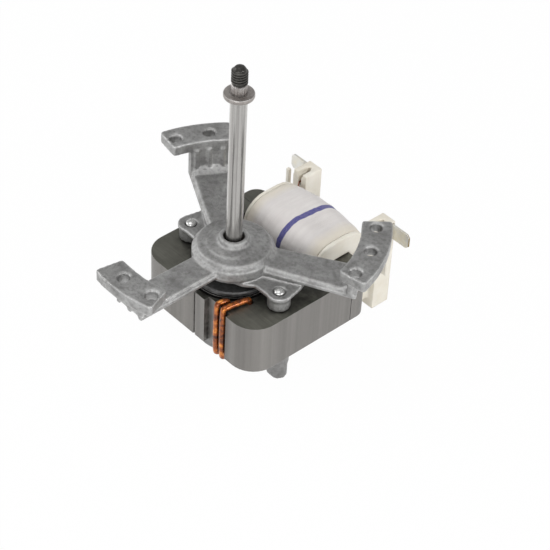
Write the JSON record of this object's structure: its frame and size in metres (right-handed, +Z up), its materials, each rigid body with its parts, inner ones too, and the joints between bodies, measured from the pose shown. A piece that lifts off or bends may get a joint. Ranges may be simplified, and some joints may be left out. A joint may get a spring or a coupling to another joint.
{
  "type": "oven fan motor",
  "caption": "Shaded-pole fan motor with a laminated core, a taped coil with spade terminals, a long threaded fan shaft and a cast bracket with raised arm plates.",
  "frame": {"origin": "on the shaft's axis at the flat end of the rear bearing cup", "axes": "+Z up the shaft to the fan's thread, +Y to the coil, and +X across the core to its right leg"},
  "size_m": [0.1068, 0.1125, 0.1199],
  "materials": {
    "core_steel": "rolled sheet edges, dull",
    "rotor_steel": "black oxide with a turned rim",
    "cage_aluminium": "cast, dull",
    "shaft_steel": "ground, satin",
    "spring_steel": "stamped, satin",
    "rivet_steel": "bright plated",
    "cast_aluminium": "die cast, mottled",
    "sintered_bronze": "porous, oiled",
    "washer_fibre": "pressed fibre",
    "oil_felt": "oiled felt",
    "varnished_copper": "copper under clear varnish",
    "cloth_tape": "woven cloth tape",
    "bobbin_plastic": "moulded, satin",
    "tinned_brass": "tinned sheet"
  },
  "bodies": {
    "stator": {"stator_frame": "core_steel", "stator_yoke": "core_steel", "shading_ring_near_inner": "varnished_copper", "shading_ring_near_outer": "varnished_copper", "shading_ring_far_inner": "varnished_copper", "shading_ring_far_outer": "varnished_copper", "front_bearing": "sintered_bronze", "rear_bearing": "sintered_bronze", "front_bearing_clip": "spring_steel", "rear_bearing_clip": "spring_steel", "front_oil_felt": "oil_felt", "rear_oil_felt": "oil_felt", "front_bracket": "cast_aluminium", "rear_bracket": "cast_aluminium", "rivet_left": "rivet_steel", "rivet_right": "rivet_steel", "coil_winding": "varnished_copper", "coil_tape": "cloth_tape", "bobbin": "bobbin_plastic", "terminal_blade_left": "tinned_brass", "terminal_blade_right": "tinned_brass", "coil_lead_left": "varnished_copper", "coil_lead_right": "varnished_copper"},
    "rotor": {"shaft": "shaft_steel", "rotor_stack": "rotor_steel", "rotor_cage": "cage_aluminium", "front_shaft_spacer": "shaft_steel", "rear_shaft_spacer": "shaft_steel", "front_thrust_washer": "washer_fibre", "rear_thrust_washer": "washer_fibre"}
  },
  "joints": [
    {"name": "rotor_spin", "type": "hinge", "parent": "stator", "child": "rotor", "pos_m": [0, 0, 0], "axis": [0, 0, 1], "continuous": true}
  ]
}
